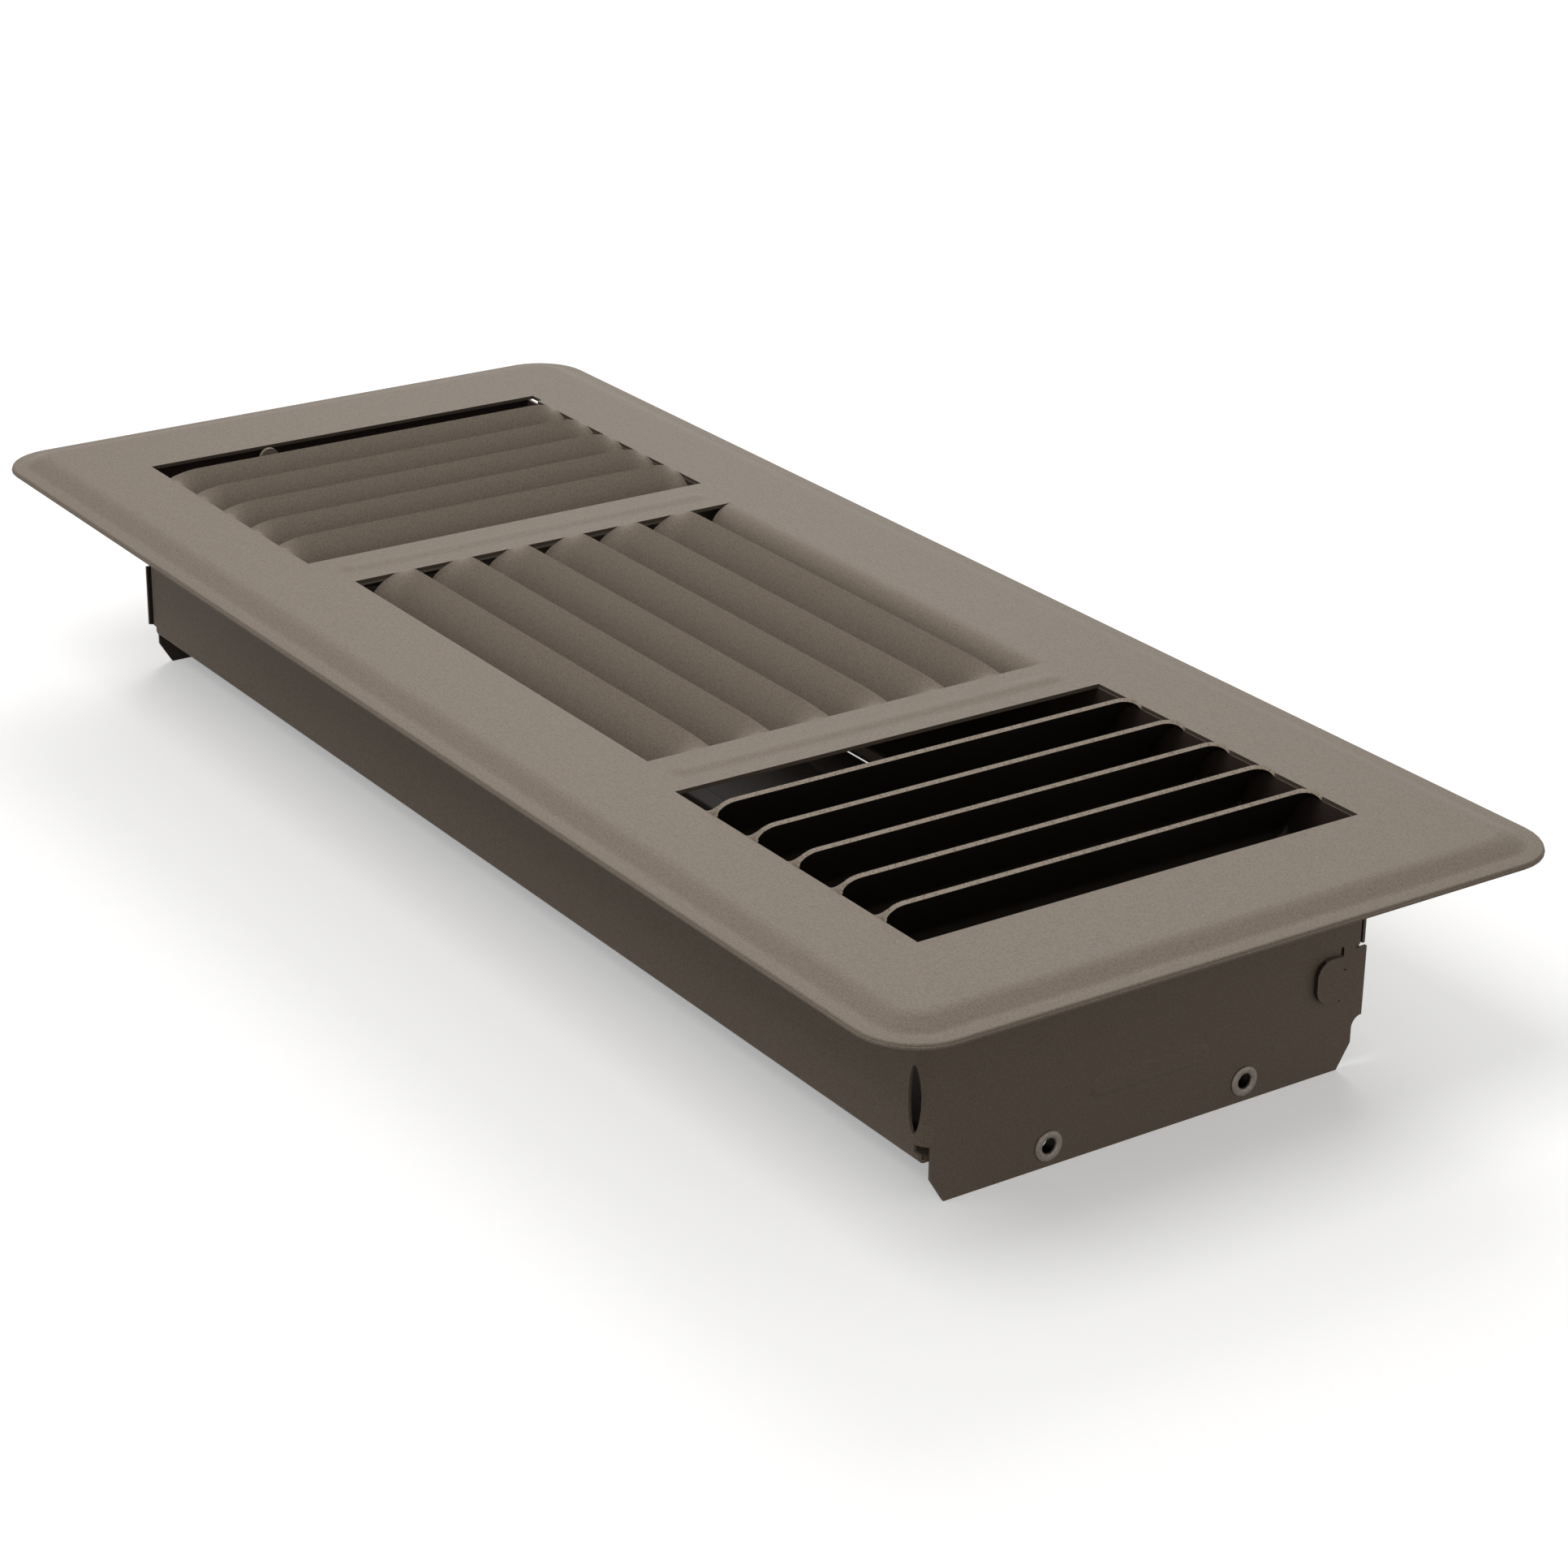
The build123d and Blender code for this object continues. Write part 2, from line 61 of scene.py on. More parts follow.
MIDDLE_WINDOW_HALF = 56.6
MIDDLE_CUTS = (-32.3, -18.6, -4.9, 8.8, 22.5, 36.2)
MIDDLE_PITCH = 13.7
PUNCH_X = (-146.0, -141.9)         # a corner of the far window is punched a little further
PUNCH_Y = (49.3, 50.4)
BEAD_PLACE = 63.85
BEAD_HALF_WIDTH = 3.3
BEAD_HALF_LENGTH = 46.0
BEAD_HEIGHT = 0.55
NECK = 4.1                         # the width over which a louvre's end stays joined to the face
LOUVRE_TILT = math.radians(63.0)
LOUVRE_SHIFT = 1.8
LOUVRE_RISE = 1.85
LOUVRE_ARCH = 0.8
CURL_FROM = math.radians(9.5)
CURL_TO = math.radians(75.5)
NEAR_BLEND = (5.4, 1.0)            # the length in which an end becomes the louvre, and the power
FAR_BLEND = (6.5, 1.5)
MIDDLE_BLEND = (8.0, 1.7)
PAST_BLEND = 4.0
END_GAP = 0.4                      # the slit at a louvre's free end, full this far from the neck
END_GAP_OVER = 1.5
FLAP_BEND = 6.0
FLAP_STRAIGHT = 5.2
FLAP_GAP = 0.3                     # the slit at the flap's sides, full at this drop
FLAP_GAP_OVER = 0.5
CUT_BEVEL = 0.2
CUT_ANGLE = math.radians(50)
WELD = 0.003

# Grid lines: how many there are across a form, and where others stand beside the forms.
NECK_LINES = 4
FREE_LINES = 6
BLEND_LINES = 12
BEND_LINES = 7
FORM_LINES = 9
BEAD_LINES = 13
BESIDE_MIDDLE = (0.6, 1.3, 2.2, 3.6)
BESIDE_END = (0, 0.5, 1.1, 1.8, 2.6, 3.6, 4.8)
OTHER_X = (68.0, 69.6, 138.0, 141.0)
OTHER_Y = (42.0,)


def rounded(points, rounds, lines):
    """A polyline whose corners are arcs: tangent length = radius x tan(half the turn)."""
    points = np.array(points)
    radius = np.array(rounds)[:, None]
    corner = points[1:-1]
    back, on = points[:-2] - corner, points[2:] - corner
    back /= np.linalg.norm(back, axis=1, keepdims=True)
    on /= np.linalg.norm(on, axis=1, keepdims=True)
    half = np.arccos(np.clip(-np.sum(back * on, axis=1), -1, 1)) / 2
    inward = (back + on) / np.linalg.norm(back + on, axis=1, keepdims=True)
    across = (on - back) / np.linalg.norm(on - back, axis=1, keepdims=True)
    centre = corner + inward * radius / np.cos(half)[:, None]
    turn = np.linspace(-half, half, lines)[..., None]
    arcs = centre + radius * (across * np.sin(turn) - inward * np.cos(turn))
    return np.concatenate([points[:1], arcs.swapaxes(0, 1).reshape(-1, 2), points[-1:]])


def across_louvre(pitch):
    """Distances across one louvre where grid lines lie: close over its neck, wider beyond it."""
    neck = np.linspace(0, NECK, NECK_LINES)
    return np.concatenate([neck, np.linspace(NECK, pitch, FREE_LINES + 1)[1:]])


def flat_height(x, y):
    """Height of the flat: the face's level, and on each bar a raised cosine ridge as its bead."""
    past = np.clip(np.abs(y) - (BEAD_HALF_LENGTH - BEAD_HALF_WIDTH), 0, None)
    share = np.hypot(np.abs(x) - BEAD_PLACE, past) / BEAD_HALF_WIDTH
    return FACE_HEIGHT + BEAD_HEIGHT * (0.5 + 0.5 * np.cos(np.pi * np.clip(share, 0, 1)))


def within(value, low, high):
    """True where a value lies between two limits."""
    return (value > low) & (value < high)


def flat_with_windows():
    """The flat of the face as points on lines in x and y, and a mask that leaves windows out."""
    bead = np.linspace(-BEAD_HALF_WIDTH, BEAD_HALF_WIDTH, BEAD_LINES) + BEAD_PLACE
    half_x = np.concatenate([
        np.linspace(0, MIDDLE_WINDOW_HALF, FORM_LINES),
        MIDDLE_WINDOW_HALF + np.array(BESIDE_MIDDLE), bead,
        *(cut - across_louvre(END_PITCH) for cut in END_CUTS), END_WINDOW, OTHER_X,
        (-PUNCH_X[1], FIELD_HALF[0]),
    ])
    bead_end = np.linspace(BEAD_HALF_LENGTH - 2 * BEAD_HALF_WIDTH, BEAD_HALF_LENGTH, FORM_LINES)
    half_y = np.concatenate([END_WINDOW_HALF + np.array(BESIDE_END), bead_end, (FIELD_HALF[1],)])
    # Rounded, so that lines which fall together are one line.
    lines_x = np.unique(np.round(np.concatenate([-half_x, half_x]), 4))
    lines_y = np.unique(np.round(np.concatenate([
        -half_y, half_y, *(cut - across_louvre(MIDDLE_PITCH) for cut in MIDDLE_CUTS),
        MIDDLE_WINDOW, OTHER_Y,
    ]), 4))
    x, y = np.meshgrid(lines_x, lines_y, indexing="ij")
    cell_x, cell_y = (x[:-1, :-1] + x[1:, 1:]) / 2, (y[:-1, :-1] + y[1:, 1:]) / 2
    end_hole = within(np.abs(cell_x), *END_WINDOW) & (np.abs(cell_y) < END_WINDOW_HALF)
    middle_hole = (np.abs(cell_x) < MIDDLE_WINDOW_HALF) & within(cell_y, *MIDDLE_WINDOW)
    punch_hole = within(cell_x, *PUNCH_X) & within(cell_y, *PUNCH_Y)
    points = np.stack([x, y, flat_height(x, y)], axis=-1)
    return points, ~(end_hole | middle_hole | punch_hole), lines_x, lines_y


def rim(lines_x, lines_y):
    """The band from the field's straight border out over the step and the lip to the sheared edge.

    Each border point pairs with a point of the flat's rounded outline and its outward normal, and
    the rim's profile is laid along that normal.
    """
    corner_turn = np.linspace(0, np.pi / 2, FORM_LINES)[:, None]
    straight = np.array(FLAT_HALF) - FLAT_CORNER
    inner, outer, normal = [], [], []
    for quarter, lines in enumerate((lines_x, lines_y, -lines_x[::-1], -lines_y[::-1])):
        ahead = np.round([np.cos(quarter * np.pi / 2), np.sin(quarter * np.pi / 2)])
        out = np.array([ahead[1], -ahead[0]])
        spread, depth = (0, 1) if quarter % 2 == 0 else (1, 0)
        along = lines[:, None] * ahead
        swing = out * np.cos(corner_turn) + ahead * np.sin(corner_turn)
        field_corner = ahead * FIELD_HALF[spread] + out * FIELD_HALF[depth]
        inner += [along + out * FIELD_HALF[depth], np.broadcast_to(field_corner, swing.shape)]
        outer += [
            along * straight[spread] / FIELD_HALF[spread] + out * FLAT_HALF[depth],
            ahead * straight[spread] + out * straight[depth] + swing * FLAT_CORNER,
        ]
        normal += [np.broadcast_to(out, along.shape), swing]
    inner, outer, normal = (np.concatenate(part) for part in (inner, outer, normal))
    profile = rounded(RIM_PROFILE, RIM_ROUNDS, BEND_LINES)
    band = outer[:, None] + normal[:, None] * profile[None, :, :1]
    level = np.broadcast_to(FACE_HEIGHT + profile[None, :, 1:], band.shape[:2] + (1,))
    border = np.concatenate([inner, np.full((len(inner), 1), FACE_HEIGHT)], axis=1)
    ring = np.concatenate([border[:, None], np.concatenate([band, level], axis=2)], axis=1)
    return np.concatenate([ring, ring[:1]])


def louvre(pitch, window_half, blend, power):
    """One louvre's upper face in its own frame: x across from its cut, y along, z from the flat.

    At its end it is flat over the neck and then curls down, its angle growing evenly. Along its
    length it is tilted and arched. Between the two, the share of the second is the sine of an
    angle, raised to a power. The angle is 0 at the window's side, a quarter turn at the blend.
    The arch is a parabola: 4 x its height x share x (1 - share) of the way across.
    """
    across = across_louvre(pitch)
    free = np.clip(across - NECK, 0, None)
    angle = CURL_FROM + (CURL_TO - CURL_FROM) * free / (pitch - NECK)
    step = np.diff(free, prepend=0)
    step_angle = angle - np.diff(angle, prepend=angle[0]) / 2
    curled = np.stack([
        np.minimum(across, NECK) + np.cumsum(step * np.cos(step_angle)),
        -np.cumsum(step * np.sin(step_angle)),
    ], axis=1)
    arch = 4 * LOUVRE_ARCH * across / pitch * (1 - across / pitch)
    tilted = np.stack([
        LOUVRE_SHIFT + np.cos(LOUVRE_TILT) * across + np.sin(LOUVRE_TILT) * arch,
        LOUVRE_RISE - np.sin(LOUVRE_TILT) * across + np.cos(LOUVRE_TILT) * arch,
    ], axis=1)
    swing = np.linspace(0, np.pi / 2, BLEND_LINES)
    inset = np.append(blend * (1 - np.cos(swing)), blend + PAST_BLEND)
    share = np.append(np.sin(swing) ** power, 1.0)
    along = np.concatenate([inset - window_half, (window_half - inset)[::-1]])
    share = np.concatenate([share, share[::-1]])[:, None]
    section = curled * (1 - share[..., None]) + tilted * share[..., None]
    gap = END_GAP * np.clip(free / END_GAP_OVER, 0, 1) * (1 - share) * np.sign(-along)[:, None]
    return np.stack([section[..., 0], along[:, None] + gap, section[..., 1]], axis=-1)


def last_flap(lines_x):
    """The flap that ends the middle group: an arc down from the flat, then a straight tail."""
    turn = np.linspace(0, LOUVRE_TILT, FORM_LINES)
    bend = FLAP_BEND * np.stack([-np.sin(turn), np.cos(turn) - 1], axis=1)
    tail = bend[-1] - FLAP_STRAIGHT * np.array([np.cos(LOUVRE_TILT), np.sin(LOUVRE_TILT)])
    run, drop = np.concatenate([bend, tail[None]]).T
    gap = FLAP_GAP * np.clip(-drop / FLAP_GAP_OVER, 0, 1)
    inside = lines_x[np.abs(lines_x) <= MIDDLE_WINDOW_HALF]
    x = inside[:, None] * (1 - gap / MIDDLE_WINDOW_HALF)
    y = np.broadcast_to(MIDDLE_WINDOW[1] + run, x.shape)
    return np.stack([x, y, np.broadcast_to(FACE_HEIGHT + drop, x.shape)], axis=-1)


def welded(name, grids, finish, body):
    """Makes one welded piece of grids of points in millimetres, each with its mask and its turn.

    A cell of a grid becomes a quad where its mask is true, wound the other way if it is turned.
    Points of no quad are left out, and points that fall together are merged.
    """
    points, faces, first = [], [], 0
    for grid, mask, turned in grids:
        here = first + np.arange(grid.shape[0] * grid.shape[1]).reshape(grid.shape[:2])
        quads = np.stack([here[:-1, :-1], here[1:, :-1], here[1:, 1:], here[:-1, 1:]], axis=-1)
        quads = quads.reshape(-1, 4) if mask is None else quads[mask]
        faces.append(quads[:, ::-1] if turned else quads)
        points.append(grid.reshape(-1, 3))
        first += here.size
    used, faces = np.unique(np.concatenate(faces), return_inverse=True)
    points = np.concatenate(points)[used] * MM
    mesh = bpy.data.meshes.new(name)
    mesh.from_pydata(points.tolist(), [], faces.reshape(-1, 4).tolist())
    joined = bmesh.new()
    joined.from_mesh(mesh)
    bmesh.ops.remove_doubles(joined, verts=joined.verts, dist=WELD * MM)
    joined.to_mesh(mesh)
    joined.free()
    mesh.polygons.foreach_set("use_smooth", np.ones(len(mesh.polygons), dtype=bool))
    mesh.materials.append(finish)
    piece = bpy.data.objects.new(name, mesh)
    bpy.context.scene.collection.objects.link(piece)
    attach(piece, body)
    return piece


# Powder coat: sprayed on dry, charged, and baked. Orange peel on it is 1 to 3 mm across. Its grit
# is about 0.1 mm, too fine to show here, so it is drawn four times as coarse.
COAT_COLOUR = "#867A6D"
COAT_THICK = "#908477"
COAT_PITS = "#7A6E61"
# The next colour is painted shade: near black under the louvres and in the eyelets' bores.
COAT_PAINTED_SHADE = "#17120F"
# The next two colours are painted light on cut edges: a pale painted highlight where they face up,
# a darker painted shade where they face down.
EDGE_PAINTED_HIGHLIGHT = "#B8AA9A"
EDGE_PAINTED_SHADE = "#544A42"
COAT_ROUGHNESS = 0.55              # satin, and with less gloss than most, as in the photo
COAT_SPECULAR = 0.14
TINT_STOPS = (0.30, 0.52, 0.80)    # where the fine noise gives pits, coat and thick coat
PEEL_SIZE, PEEL_DEPTH, PEEL_STRENGTH = 1.6, 0.05, 0.5
GRIT_SIZE, GRIT_DEPTH, GRIT_STRENGTH = 0.42, 0.03, 0.6
FACES_UP = (-0.34, -0.12)          # the normal's z: painted shade below the first, full coat above the second
EDGE_UP = (0.05, 0.35)             # the same on a cut edge, where the full coat is the painted highlight
EDGE_SLOT = 1
MIX_A, MIX_B, MIX_RESULT = 6, 7, 2  # the colour sockets of a Mix node


def linear(code):
    """sRGB hex to linear RGBA: c / 12.92 up to 0.04045, else ((c + 0.055) / 1.055) ^ 2.4."""
    c = np.array([int(code[i:i + 2], 16) for i in (1, 3, 5)]) / 255
    low = c / 12.92
    high = ((c + 0.055) / 1.055) ** 2.4
    return (*np.where(c <= 0.04045, low, high).tolist(), 1.0)


def node(tree, kind, links=(), **settings):
    """Adds a node. A setting is a property, or an input where the name is one with _ for space."""
    made = tree.nodes.new(kind)
    for name, value in settings.items():
        if hasattr(made, name):
            setattr(made, name, value)
        else:
            made.inputs[name.replace("_", " ")].default_value = value
    for socket, source in links:
        tree.links.new(source, made.inputs[socket])
    return made


def powder_coat(name, pits, coat, thick, painted_shade, unshaded_share, peel=PEEL_STRENGTH, grit=GRIT_STRENGTH):
    """Satin powder coat: a base colour that wanders a little, and two sizes of bump.

    Height = peel x broad noise + grit x fine noise, and the colour goes from pits to thick coat
    with the same fine noise. Into a box or under a louvre the colour is painted shade: the mask
    argument gives the share of full coat from the piece's own place and normal, and the rest is
    painted shade.
    """
    made = bpy.data.materials.new(name)
    made.use_nodes = True
    tree = made.node_tree
    shader = tree.nodes["Principled BSDF"]
    place = node(tree, "ShaderNodeTexCoord")
    fine = node(
        tree, "ShaderNodeTexNoise", [("Vector", place.outputs["Object"])],
        Scale=1 / (GRIT_SIZE * MM), Detail=2.0, Roughness=0.55,
    )
    broad = node(
        tree, "ShaderNodeTexNoise", [("Vector", place.outputs["Object"])],
        Scale=1 / (PEEL_SIZE * MM), Detail=1.0, Roughness=0.5,
    )
    tint = node(tree, "ShaderNodeValToRGB", [("Fac", fine.outputs["Fac"])])
    stops = tint.color_ramp.elements
    stops.new(TINT_STOPS[-1])
    for stop, position, shade in zip(stops, TINT_STOPS, (pits, coat, thick)):
        stop.position, stop.color = position, linear(shade)
    coat_or_painted_shade = node(
        tree, "ShaderNodeMix", [("Factor", unshaded_share(tree, place)), (MIX_B, tint.outputs["Color"])],
        data_type="RGBA",
    )
    coat_or_painted_shade.inputs[MIX_A].default_value = linear(painted_shade)
    peel_bump = node(
        tree, "ShaderNodeBump", [("Height", broad.outputs["Fac"])],
        Strength=peel, Distance=PEEL_DEPTH * MM,
    )
    grit_bump = node(
        tree, "ShaderNodeBump",
        [("Height", fine.outputs["Fac"]), ("Normal", peel_bump.outputs["Normal"])],
        Strength=grit, Distance=GRIT_DEPTH * MM,
    )
    tree.links.new(coat_or_painted_shade.outputs[MIX_RESULT], shader.inputs["Base Color"])
    tree.links.new(grit_bump.outputs["Normal"], shader.inputs["Normal"])
    shader.inputs["Roughness"].default_value = COAT_ROUGHNESS
    shader.inputs["Specular IOR Level"].default_value = COAT_SPECULAR
    return made


def rising(coordinate, low, high):
    """Makes a mask from a coordinate's z: painted shade below low, full coat above high, smooth
    between.
    """
    def unshaded_share(tree, place):
        parts = node(tree, "ShaderNodeSeparateXYZ", [("Vector", place.outputs[coordinate])])
        return node(
            tree, "ShaderNodeMapRange", [("Value", parts.outputs["Z"])],
            interpolation_type="SMOOTHSTEP", From_Min=low, From_Max=high,
        ).outputs[0]
    return unshaded_share


# To the eye the coat is an even grey-brown with a soft sheen that has no sharp edge. It is full
# on what faces up; what faces down, under the louvres, is painted nearly black as painted shade.
face_coat = powder_coat(
    "powder_coat_face", COAT_PITS, COAT_COLOUR, COAT_THICK, COAT_PAINTED_SHADE, rising("Normal", *FACES_UP),
)
# A cut edge is painted paler as a painted highlight, so a cut shows as a thin light line; where it
# faces down it is painted darker as painted shade.
edge_coat_painted_highlight = powder_coat(
    "powder_coat_sheared_edges_painted_highlight", COAT_COLOUR, EDGE_PAINTED_HIGHLIGHT, EDGE_PAINTED_HIGHLIGHT, EDGE_PAINTED_SHADE,
    rising("Normal", *EDGE_UP),
)

flat, solid_cells, lines_x, lines_y = flat_with_windows()
grids = [
    (flat, solid_cells, False), (rim(lines_x, lines_y), None, True),
    (last_flap(lines_x), None, True),
]
for cuts, pitch, window_half, blend, turn in (
    (END_CUTS, END_PITCH, END_WINDOW_HALF, NEAR_BLEND, 180),
    (END_CUTS, END_PITCH, END_WINDOW_HALF, FAR_BLEND, 0),
    (MIDDLE_CUTS, MIDDLE_PITCH, MIDDLE_WINDOW_HALF, MIDDLE_BLEND, -90),
):
    # A louvre is moved back by its cut in its own frame, and then turned into its window.
    across, along, height = np.moveaxis(louvre(pitch, window_half, *blend), -1, 0)
    cosine, sine = round(math.cos(math.radians(turn))), round(math.sin(math.radians(turn)))
    for cut in cuts:
        x = (across - cut) * cosine - along * sine
        y = (across - cut) * sine + along * cosine
        grids.append((np.stack([x, y, FACE_HEIGHT + height], axis=-1), None, True))

face = welded("stamped_face", grids, face_coat, "housing")
face.data.materials.append(edge_coat_painted_highlight)
wall = face.modifiers.new("sheet_gauge", "SOLIDIFY")
wall.thickness = FACE_GAUGE * MM
wall.offset = -1.0
wall.material_offset_rim = EDGE_SLOT
edge = face.modifiers.new("sheared_edges", "BEVEL")
edge.width = CUT_BEVEL * MM
edge.segments = 2
edge.limit_method = "ANGLE"
edge.angle_limit = CUT_ANGLE
edge.harden_normals = True
edge.material = EDGE_SLOT
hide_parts("face_plate")


# BOX HALVES
# Two L-shaped strips of 0.6 mm steel, folded and hooked together with D-shaped tabs, and
# spot-welded under the face before the whole register was coated. Inside, the coat is drawn dark
# as painted shade.
# The box's colours are the face's, tinted warmer and darker as painted shade for its shaded walls;
# the last is painted shade for the inside.
BOX_SHADE_TINTED_COLOUR = "#857769"
BOX_SHADE_TINTED_THICK = "#8C7E70"
BOX_SHADE_TINTED_PITS = "#7B6D5F"
BOX_PAINTED_SHADE = "#413833"
LOOKS_OUT = 5.0                    # in millimetres from the box's middle, along the normal


def outside_box(tree, place):
    """Full coat where the surface looks away from the box's middle: normal . place > LOOKS_OUT.
    Inside the box the colour is painted shade.
    """
    away = node(
        tree, "ShaderNodeVectorMath", [(0, place.outputs["Normal"]), (1, place.outputs["Object"])],
        operation="DOT_PRODUCT",
    )
    share = node(tree, "ShaderNodeMath", [(0, away.outputs["Value"])], operation="GREATER_THAN")
    share.inputs[1].default_value = LOOKS_OUT * MM
    return share.outputs[0]


def dress(name, finish):
    """Gives a CAD node its finish."""
    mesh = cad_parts[name].data
    mesh.materials.clear()
    mesh.materials.append(finish)


# The face's coat, tinted a little warmer and darker as painted shade for the walls, which stand in
# shade outside; inside the box they are painted a dull dark brown as painted shade.
box_coat = powder_coat(
    "powder_coat_box", BOX_SHADE_TINTED_PITS, BOX_SHADE_TINTED_COLOUR, BOX_SHADE_TINTED_THICK, BOX_PAINTED_SHADE, outside_box,
)
for name in ("collar_left", "collar_right"):
    dress(name, box_coat)


# DAMPER
# Two ribbed blades with a link bar and a lever: pressed from 0.7 mm and 0.8 mm strip, riveted,
# and coated with the box. Their colour is darkened as painted shade for the box's shadow; the
# lever's tip keeps the full coat.
# The damper's colours are the coat darkened to a dull brown as painted shade for the box's shadow.
DAMPER_PAINTED_SHADE = "#3E3732"
DAMPER_PAINTED_SHADE_THICK = "#443C37"
DAMPER_PAINTED_SHADE_PITS = "#37302B"
TIP_HEIGHT = (40.0, 47.0)          # below the first the lever has the blades' painted shade, above the second the full coat

# Painted shade for the box's shadow: the coat drawn a dull dark brown, with the same faint peel.
damper_coat = powder_coat(
    "powder_coat_damper_painted_shade", DAMPER_PAINTED_SHADE_PITS, DAMPER_PAINTED_SHADE, DAMPER_PAINTED_SHADE_THICK, DAMPER_PAINTED_SHADE_PITS,
    rising("Normal", *FACES_UP),
)
for name in (
    "damper_blade_left", "damper_blade_right", "link_bar", "lever_rivets", "link_rivet_left",
    "link_rivet_right",
):
    dress(name, damper_coat)
# The lever's tip shows the face's grey-brown in the far window; lower down it fades to the blades'
# dark brown, which is painted shade.
dress("control_lever", powder_coat(
    "powder_coat_lever", COAT_PITS, COAT_COLOUR, COAT_THICK, DAMPER_PAINTED_SHADE,
    rising("Object", TIP_HEIGHT[0] * MM, TIP_HEIGHT[1] * MM),
))


# PIVOT EYELETS
# Four hollow rivets of soft steel, drawn from sheet with a rolled flange, and curled over inside
# the blades' ears. Coated with the rest, they shine a little where the flange rolls round.
EYELET_COLOUR = "#9A9086"
EYELET_THICK = "#AAA196"
EYELET_PITS = "#877D73"
EYELET_METAL = 0.6
EYELET_PEEL = 0.3
EYELET_GRIT = 0.4
EYELET_X = 150.0                   # the end wall's outer face, where the flange sits
EYELET_ROWS = (-22.4, 22.4)
EYELET_HEIGHT = 4.2
BORE = 1.5                         # radii of the bore, the shank, the flange and the curl
SHANK = 2.0
FLANGE = 3.0
CURL = 2.8
CURL_X = 148.3
ROLL = 0.6                         # how far flange and curl stand off, and how full the roll is
ROLL_POWER = 0.8
BORE_SHADE_TO_COAT = (-0.2, 0.25)         # out from the end wall's face: the bore is painted near black as painted shade
CROWN_LINES = 15
ROUND_LINES = 64


def stands_proud(tree, place):
    """Full coat outside the end wall, painted shade in the bore: the share rises with the distance
    |x|.
    """
    parts = node(tree, "ShaderNodeSeparateXYZ", [("Vector", place.outputs["Object"])])
    out = node(tree, "ShaderNodeMath", [(0, parts.outputs["X"])], operation="ABSOLUTE")
    return node(
        tree, "ShaderNodeMapRange", [("Value", out.outputs[0])],
        From_Min=(EYELET_X + BORE_SHADE_TO_COAT[0]) * MM, From_Max=(EYELET_X + BORE_SHADE_TO_COAT[1]) * MM,
    ).outputs[0]


def eyelet(side, row):
    """A hollow rivet: a closed profile (x, r) turned about its own axis.

    The flange's outside goes from the bore's mouth over its crown to the wall, like a half
    ellipse whose height is the sine to a power. The curl inside is a quarter ellipse.
    """
    turn = np.linspace(0, np.pi, CROWN_LINES)
    crown = np.stack([
        EYELET_X + ROLL * np.sin(turn) ** ROLL_POWER,
        (BORE + FLANGE) / 2 - (FLANGE - BORE) / 2 * np.cos(turn),
    ], axis=1)
    shank = np.array([(EYELET_X, SHANK), (CURL_X, SHANK), (CURL_X, CURL)])
    bend = np.linspace(0, np.pi / 2, BEND_LINES)[1:]
    curl = np.stack([CURL_X - ROLL * np.sin(bend), BORE + (CURL - BORE) * np.cos(bend)], axis=1)
    along, radius = np.concatenate([crown, shank, curl, crown[:1]]).T
    angle = np.linspace(0, 2 * np.pi, ROUND_LINES + 1)[:, None]
    x = np.broadcast_to(side * along, (len(angle), len(along)))
    y = row + side * radius * np.cos(angle)
    z = EYELET_HEIGHT + radius * np.sin(angle)
    return np.stack([x, y, z], axis=-1)


# Coated steel, rubbed where the flange rolls round: paler, with a soft ring of metal sheen.
eyelet_coat = powder_coat(
    "rubbed_powder_coat_eyelets", EYELET_PITS, EYELET_COLOUR, EYELET_THICK, COAT_PAINTED_SHADE,
    stands_proud, EYELET_PEEL, EYELET_GRIT,
)
eyelet_coat.node_tree.nodes["Principled BSDF"].inputs["Metallic"].default_value = EYELET_METAL
places = [(side, row) for side in (-1, 1) for row in EYELET_ROWS]
for number, (side, row) in enumerate(places, 1):
    made = welded(
        f"eyelet_{number}", [(eyelet(side, row), None, False)], eyelet_coat,
        "housing",
    )
    made.modifiers.new("soft_edges", "WEIGHTED_NORMAL")
    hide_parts("pivot_eyelets")


# FLOOR, LIGHT AND CAMERA
# A pale studio floor that reads as white and keeps the soft shadow, and plain soft light from
# above. The camera looks down the register's length from the right-hand near end.
FLOOR_HALF = 6.0
FLOOR_COLOUR = "#F4F3F1"
FLOOR_BOUNCE = "#4A4744"           # what the floor gives back to the object
FLOOR_ROUGHNESS = 0.9
GLOW_REACH = (0.5, 2.0)            # metres from the object, and the floor's glow there
GLOW = (0.35, 0.75)
WORLD_LIGHT = 0.34
WHITE = (1, 1, 1, 1)
LIGHT_AIM = Vector((0, 0, 0.03))
SOFTBOXES = {                      # place, side of the square, watts
    "softbox_behind": ((-1.20, 0.95, 1.25), 0.9, 11.2),
    "softbox_side": ((0.05, -0.75, 1.45), 1.0, 9.3),
    "softbox_end": ((1.30, -0.35, 0.45), 0.6, 0.95),
}
CAMERA_PLACE = Vector((608.4, -396.8, 327.2)) * MM
CAMERA_AZIMUTH = math.radians(55.33)
CAMERA_ELEVATION = math.radians(23.37)
CAMERA_ROLL = math.radians(0.90)
CAMERA_LENS = 87.93
CAMERA_SENSOR = 36.0
CAMERA_CLIP = (0.01, 50.0)


def seen(tree):
    """1 for the rays that show a background: camera, glossy and transmission rays, else 0."""
    ray = node(tree, "ShaderNodeLightPath")
    share = ray.outputs["Is Camera Ray"]
    for kind in ("Is Glossy Ray", "Is Transmission Ray"):
        share = node(
            tree, "ShaderNodeMath", [(0, share), (1, ray.outputs[kind])], operation="MAXIMUM",
        ).outputs[0]
    return share


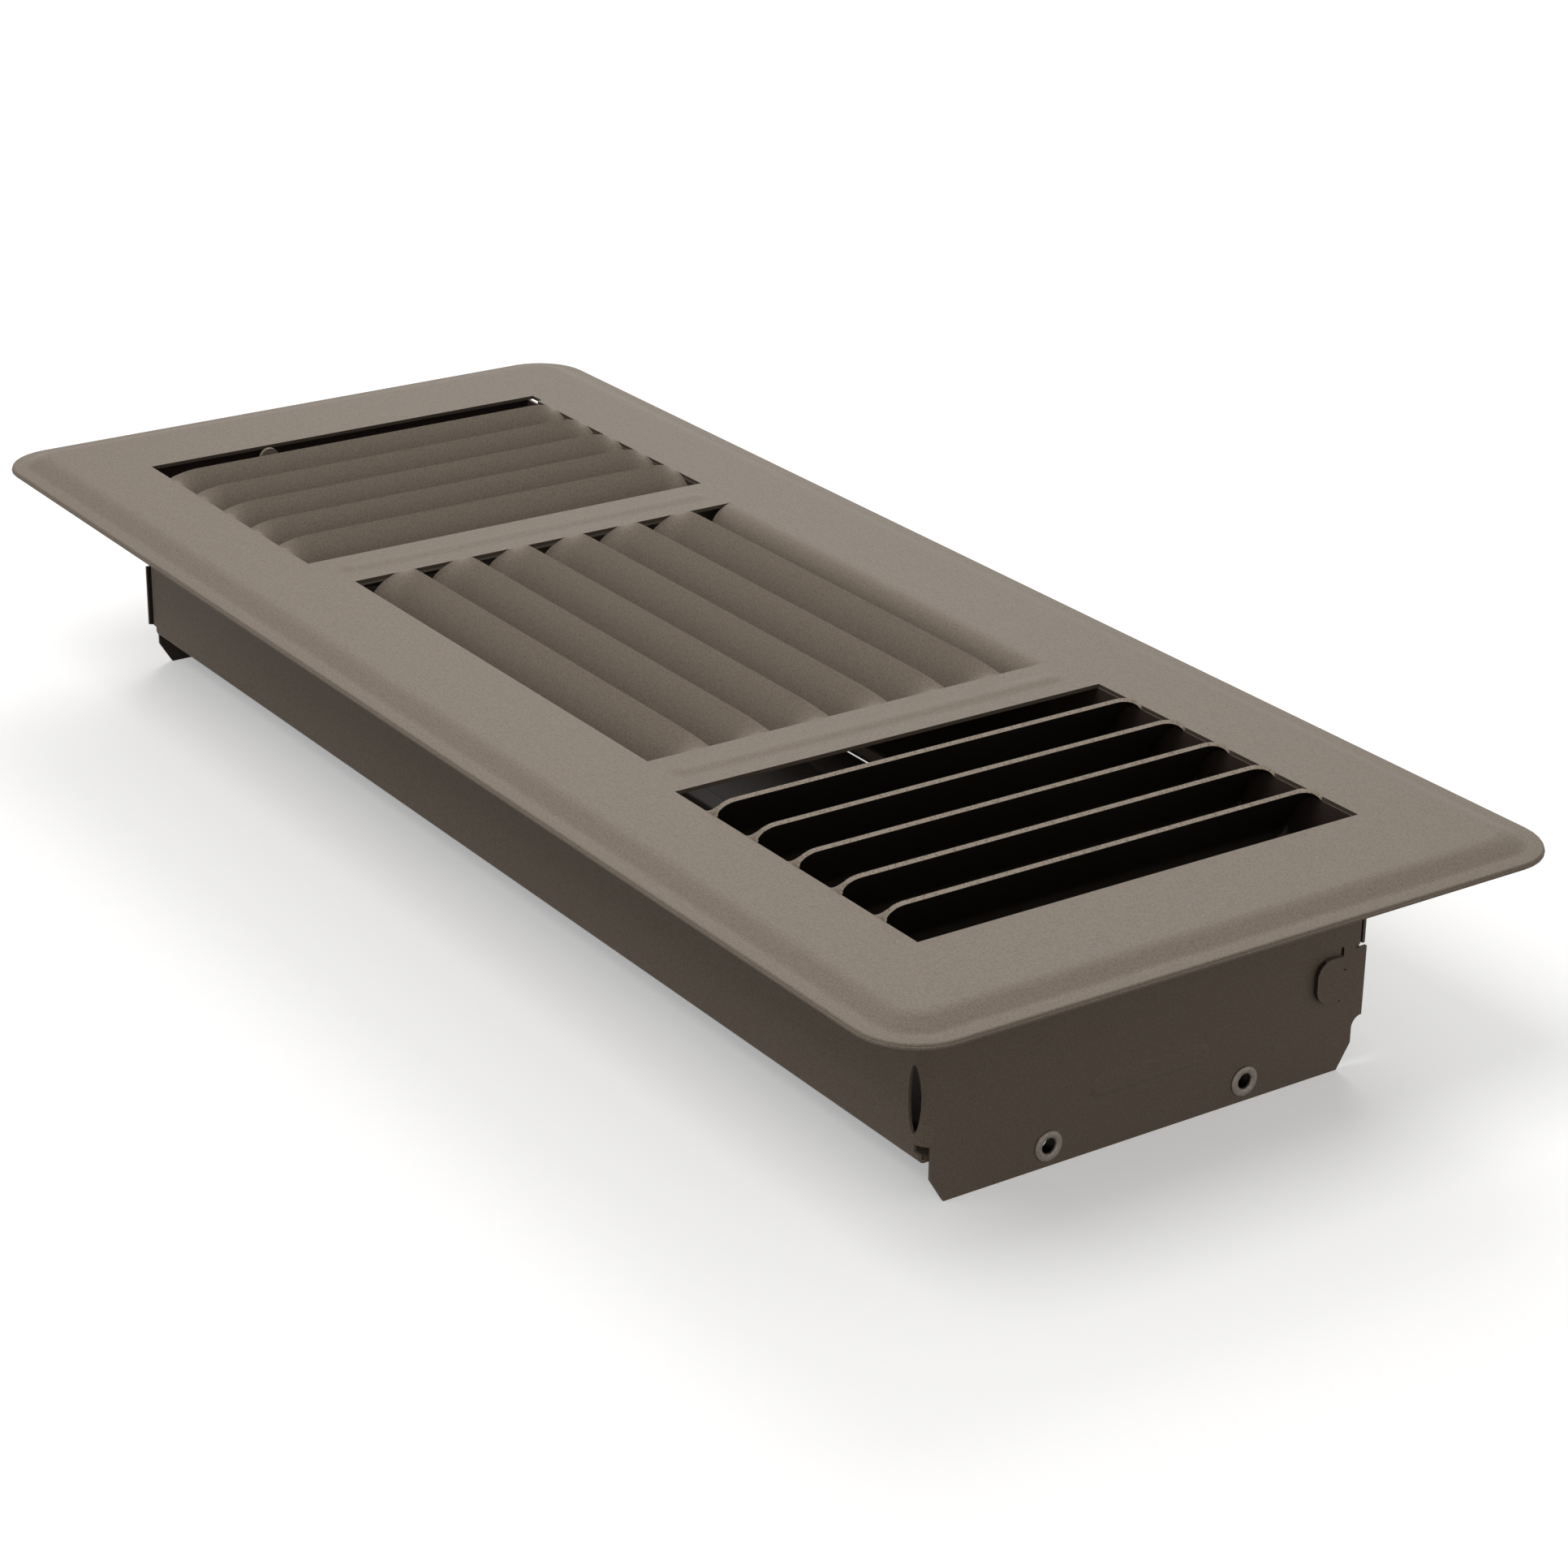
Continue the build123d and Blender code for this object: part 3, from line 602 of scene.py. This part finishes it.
corners = FLOOR_HALF * np.array([(-1, -1, 0), (1, -1, 0), (1, 1, 0), (-1, 1, 0)])
floor_mesh = bpy.data.meshes.new("floor")
floor_mesh.from_pydata(corners.tolist(), [], [(0, 1, 2, 3)])
floor = bpy.data.objects.new("floor", floor_mesh)
bpy.context.scene.collection.objects.link(floor)

# Matt studio paint. It glows for the rays that see it, more further out, so it reads as white.
floor_paint = bpy.data.materials.new("studio_floor")
floor_paint.use_nodes = True
tree = floor_paint.node_tree
shader = tree.nodes["Principled BSDF"]
shown = seen(tree)
paint = node(tree, "ShaderNodeMix", [("Factor", shown)], data_type="RGBA")
paint.inputs[MIX_A].default_value = linear(FLOOR_BOUNCE)
paint.inputs[MIX_B].default_value = linear(FLOOR_COLOUR)
place = node(tree, "ShaderNodeTexCoord")
far = node(tree, "ShaderNodeVectorMath", [(0, place.outputs["Object"])], operation="LENGTH")
lit = node(
    tree, "ShaderNodeMapRange", [("Value", far.outputs["Value"])],
    From_Min=GLOW_REACH[0], From_Max=GLOW_REACH[1], To_Min=GLOW[0], To_Max=GLOW[1],
)
glow = node(tree, "ShaderNodeMath", [(0, shown), (1, lit.outputs[0])], operation="MULTIPLY")
tree.links.new(paint.outputs[MIX_RESULT], shader.inputs["Base Color"])
tree.links.new(glow.outputs[0], shader.inputs["Emission Strength"])
shader.inputs["Emission Color"].default_value = WHITE
shader.inputs["Roughness"].default_value = FLOOR_ROUGHNESS
floor_mesh.materials.append(floor_paint)

world = bpy.data.worlds.new("studio")
world.use_nodes = True
tree = world.node_tree
backdrop = tree.nodes["Background"]
strength = node(
    tree, "ShaderNodeMapRange", [("Value", seen(tree))], To_Min=WORLD_LIGHT, To_Max=1.0,
)
tree.links.new(strength.outputs[0], backdrop.inputs["Strength"])
backdrop.inputs["Color"].default_value = WHITE
bpy.context.scene.world = world

for name, (place, side, watts) in SOFTBOXES.items():
    lamp = bpy.data.lights.new(name, "AREA")
    lamp.shape = "RECTANGLE"
    lamp.size, lamp.size_y, lamp.energy = side, side, watts
    softbox = bpy.data.objects.new(name, lamp)
    bpy.context.scene.collection.objects.link(softbox)
    aim = (Vector(place) - LIGHT_AIM).to_track_quat("Z", "Y").to_matrix().to_4x4()
    softbox.matrix_world = Matrix.Translation(place) @ aim

camera_data = bpy.data.cameras.new("camera")
camera_data.lens = CAMERA_LENS
camera_data.sensor_width = CAMERA_SENSOR
camera_data.sensor_fit = "HORIZONTAL"
camera_data.clip_start, camera_data.clip_end = CAMERA_CLIP
camera = bpy.data.objects.new("camera", camera_data)
bpy.context.scene.collection.objects.link(camera)
back = Vector((
    math.sin(CAMERA_AZIMUTH) * math.cos(CAMERA_ELEVATION),
    -math.cos(CAMERA_AZIMUTH) * math.cos(CAMERA_ELEVATION),
    math.sin(CAMERA_ELEVATION),
))
right = Vector((math.cos(CAMERA_AZIMUTH), math.sin(CAMERA_AZIMUTH), 0))
up = back.cross(right)
rolled_right = right * math.cos(CAMERA_ROLL) + up * math.sin(CAMERA_ROLL)
rolled_up = up * math.cos(CAMERA_ROLL) - right * math.sin(CAMERA_ROLL)
turned = Matrix((rolled_right, rolled_up, back)).transposed().to_4x4()
camera.matrix_world = Matrix.Translation(CAMERA_PLACE) @ turned
bpy.context.scene.camera = camera
bpy.context.scene.view_settings.view_transform = "Standard"
